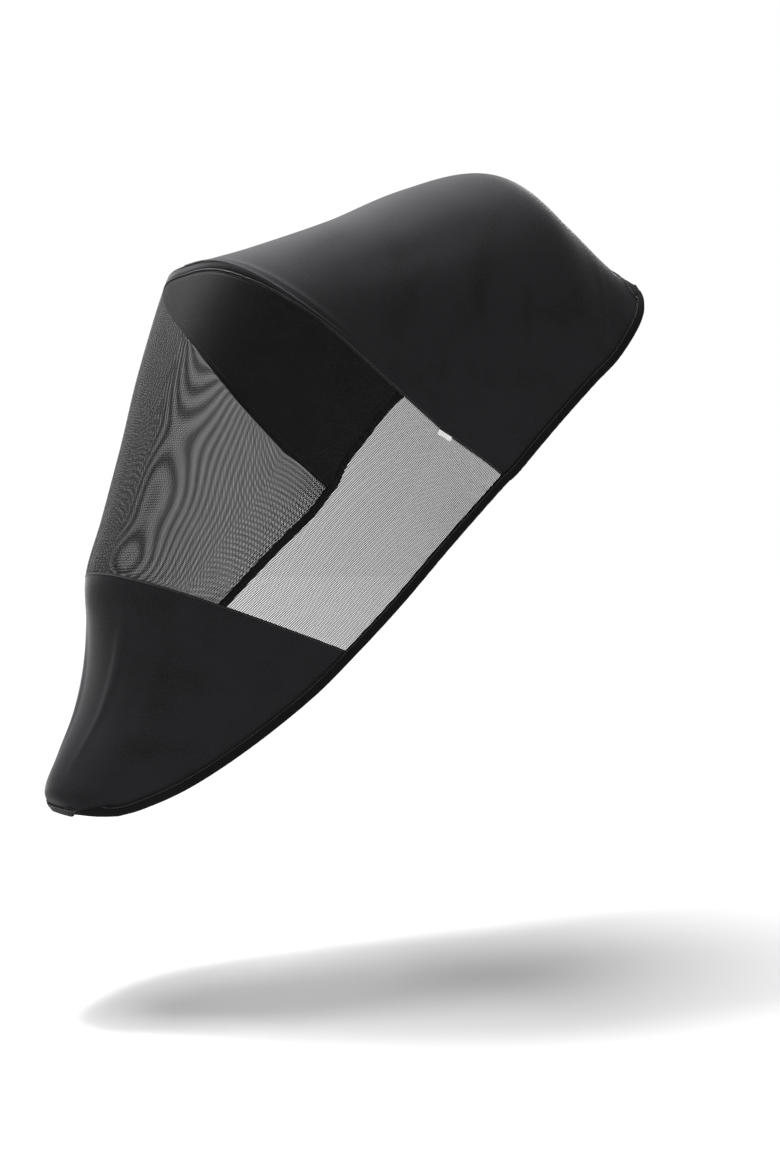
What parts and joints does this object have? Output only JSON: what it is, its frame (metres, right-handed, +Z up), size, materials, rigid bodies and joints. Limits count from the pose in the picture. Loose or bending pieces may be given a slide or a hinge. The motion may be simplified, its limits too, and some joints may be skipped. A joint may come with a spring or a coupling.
{
  "type": "fitted mosquito net cover for a pushchair",
  "caption": "Hood-shaped insect net cover for a pushchair: black knit top and boot, fine net window, elastic edge tape and a small blank label.",
  "frame": {"origin": "the place under the top of the crown that rests on the hood", "axes": "+Z up, -Y towards the toe at the front, +X to the side that carries the label"},
  "size_m": [0.4638, 0.721, 0.8084],
  "materials": {
    "black_knit": "matt black stretch knit",
    "insect_net": "fine black knitted net, see-through",
    "elastic_tape": "black fold-over elastic tape",
    "white_label": "plain white woven tab"
  },
  "bodies": {
    "root": {"top_panel": "black_knit", "net_panel": "insect_net", "boot_panel": "black_knit", "edge_tape": "elastic_tape", "label_tab": "white_label"}
  },
  "joints": []
}
